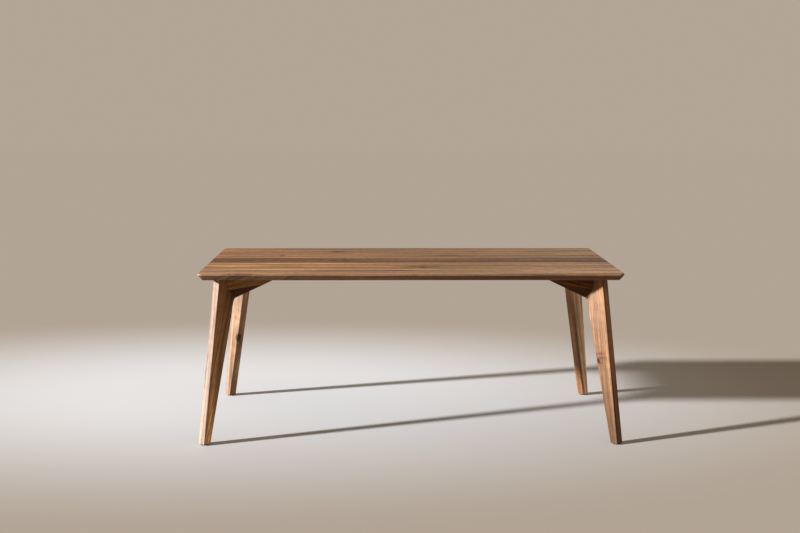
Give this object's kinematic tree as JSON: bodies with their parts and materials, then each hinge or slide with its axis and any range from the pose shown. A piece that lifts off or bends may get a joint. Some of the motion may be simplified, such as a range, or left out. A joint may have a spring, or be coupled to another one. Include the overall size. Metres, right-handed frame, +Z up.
{
  "type": "dining table",
  "caption": "Rectangular walnut dining table: edge-glued top with an undercut bevelled rim, splayed tapering legs set on the corner diagonals, and bracing arms",
  "frame": {"origin": "on the floor, under the middle of the top", "axes": "+X along the table, +Y across it from the front of the picture to the back, +Z up"},
  "size_m": [1.821, 0.921, 0.74],
  "materials": {
    "walnut_front": "oiled walnut, pinkish brown, cathedral grain",
    "walnut_light": "oiled walnut, light and streaky",
    "walnut_dark": "oiled walnut, dark grey brown heartwood",
    "walnut_mid": "oiled walnut, mid brown, straight grain",
    "walnut_back": "oiled walnut, warm mid brown",
    "walnut_leg": "oiled walnut, grain along the leg",
    "walnut_arm": "oiled walnut, dark, grain along the arm",
    "beech_dowel": "plain beech",
    "plate_steel": "black powder coat",
    "channel_steel": "black powder coat",
    "bolt_steel": "black oxide",
    "screw_steel": "zinc plated",
    "insert_brass": "turned brass",
    "glide_plastic": "black nylon"
  },
  "bodies": {
    "root": {"stave_front": "walnut_front", "stave_front_inner": "walnut_light", "stave_middle": "walnut_dark", "stave_back_inner": "walnut_mid", "stave_back": "walnut_back", "leg_front_left": "walnut_leg", "leg_front_right": "walnut_leg", "leg_back_left": "walnut_leg", "leg_back_right": "walnut_leg", "long_arm_front_left": "walnut_arm", "long_arm_front_right": "walnut_arm", "long_arm_back_left": "walnut_arm", "long_arm_back_right": "walnut_arm", "side_arm_front_left": "walnut_arm", "side_arm_front_right": "walnut_arm", "side_arm_back_left": "walnut_arm", "side_arm_back_right": "walnut_arm", "leg_plate_front_left": "plate_steel", "leg_plate_front_right": "plate_steel", "leg_plate_back_left": "plate_steel", "leg_plate_back_right": "plate_steel", "glide_front_left": "glide_plastic", "glide_front_right": "glide_plastic", "glide_back_left": "glide_plastic", "glide_back_right": "glide_plastic", "stiffener_left": "channel_steel", "stiffener_middle": "channel_steel", "stiffener_right": "channel_steel", "arm_dowels": "beech_dowel", "plate_screws": "screw_steel", "plate_bolts": "bolt_steel", "bolt_washers": "screw_steel", "bolt_inserts": "insert_brass", "stiffener_screws": "bolt_steel", "stiffener_inserts": "insert_brass", "glide_screws": "screw_steel"}
  },
  "joints": []
}
